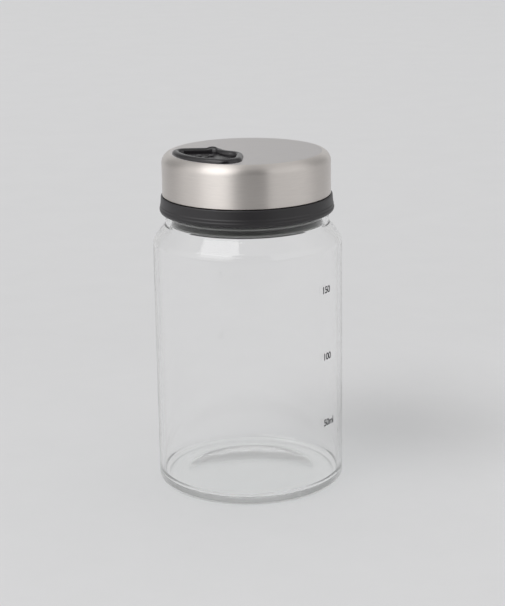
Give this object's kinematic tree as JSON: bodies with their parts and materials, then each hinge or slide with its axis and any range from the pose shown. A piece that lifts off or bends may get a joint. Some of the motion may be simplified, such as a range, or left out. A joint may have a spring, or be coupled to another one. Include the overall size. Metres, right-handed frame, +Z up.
{
  "type": "spice jar",
  "caption": "Straight clear glass spice jar with a push-in lid: a brushed steel cap with a sifter window turns on a black collar to open or close its holes.",
  "frame": {"origin": "middle of the ring that the jar stands on, on the jar's axis", "axes": "+Z up along the jar's axis, -Y towards the viewer of the picture, +X to the viewer's right"},
  "size_m": [0.058, 0.058, 0.1058],
  "materials": {
    "glass": "clear, polished",
    "silicone": "satin, translucent grey",
    "black_plastic": "satin moulded black",
    "steel": "fine brushed stainless"
  },
  "bodies": {
    "jar": {"glass_jar": "glass"},
    "lid": {"lid_collar": "black_plastic", "plug_gasket": "silicone", "shutter_plate": "black_plastic", "port_seals": "silicone"},
    "cap": {"cap_liner": "black_plastic", "sifter_insert": "black_plastic", "steel_cap": "steel"}
  },
  "joints": [
    {"name": "lid_lift", "type": "slide", "parent": "jar", "child": "lid", "axis": [0, 0, 1], "range_m": [0, 0.06]},
    {"name": "cap_turn", "type": "hinge", "parent": "lid", "child": "cap", "pos_m": [0, 0, 0.0978], "axis": [0, 0, 1], "continuous": true}
  ]
}
